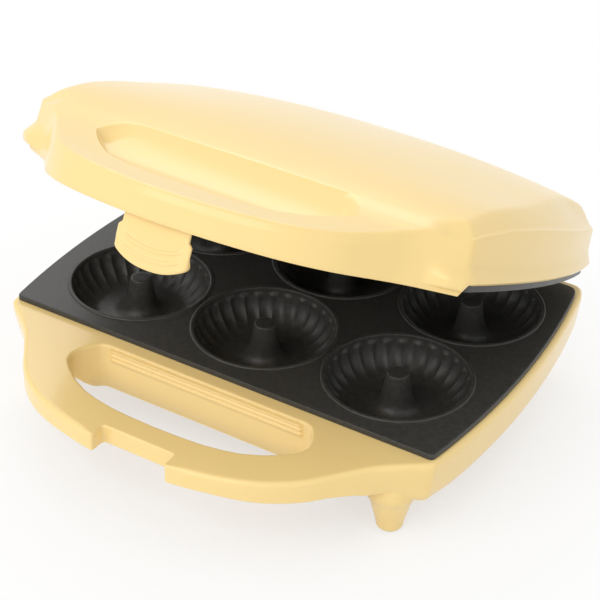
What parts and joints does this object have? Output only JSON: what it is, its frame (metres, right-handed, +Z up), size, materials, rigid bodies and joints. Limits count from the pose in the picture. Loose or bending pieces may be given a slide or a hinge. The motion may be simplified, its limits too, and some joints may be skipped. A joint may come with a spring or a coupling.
{
  "type": "donut maker",
  "caption": "Clamshell electric baker with ring-shaped moulds in hinged non-stick plates, a grip with a finger hole and a snap latch.",
  "frame": {"origin": "on the surface it stands on, under the middle of the part's box as it rests with the lid ajar", "axes": "+X to the right across the moulds, +Y from the grip to the hinge, +Z up"},
  "size_m": [0.256, 0.257, 0.1657],
  "materials": {
    "housing": "glossy pale vanilla yellow moulded plastic",
    "nonstick_plate": "cast aluminium with satin black non-stick coating",
    "rubber": "matt",
    "black_plastic": "matt",
    "steel": "zinc plated",
    "heater_sheath": "heat darkened",
    "sheet_metal": "bright rolled sheet",
    "ceramic": "matt ceramic and resin"
  },
  "bodies": {
    "base": {"base_shell": "housing", "base_floor": "housing", "lower_plate": "nonstick_plate", "lower_moulds": "nonstick_plate", "foot_pads": "rubber", "cord_inlet": "black_plastic", "floor_screws": "steel", "lower_plate_screws": "steel", "hinge_pins": "steel", "lower_clamp_screws": "steel", "terminal_screws": "steel", "lower_heating_element": "heater_sheath", "lower_element_clamps": "sheet_metal", "lower_reflector": "sheet_metal", "lower_thermostat": "ceramic", "lower_thermal_fuse": "ceramic", "terminal_block": "ceramic"},
    "lid": {"lid_shell": "housing", "upper_plate": "nonstick_plate", "upper_moulds": "nonstick_plate", "upper_plate_screws": "steel", "latch_pin": "steel", "upper_clamp_screws": "steel", "upper_heating_element": "heater_sheath", "upper_element_clamps": "sheet_metal", "upper_reflector": "sheet_metal", "upper_thermostat": "ceramic", "upper_thermal_fuse": "ceramic"},
    "latch": {"latch": "housing"}
  },
  "joints": [
    {"name": "lid_hinge", "type": "hinge", "parent": "base", "child": "lid", "pos_m": [0, 0.12123, 0.046], "axis": [-1, 0, 0], "range_deg": [-25, 70]},
    {"name": "latch_pivot", "type": "hinge", "parent": "lid", "child": "latch", "pos_m": [0, -0.09699, 0.15548], "axis": [1, 0, 0], "range_deg": [-6, 8]}
  ]
}
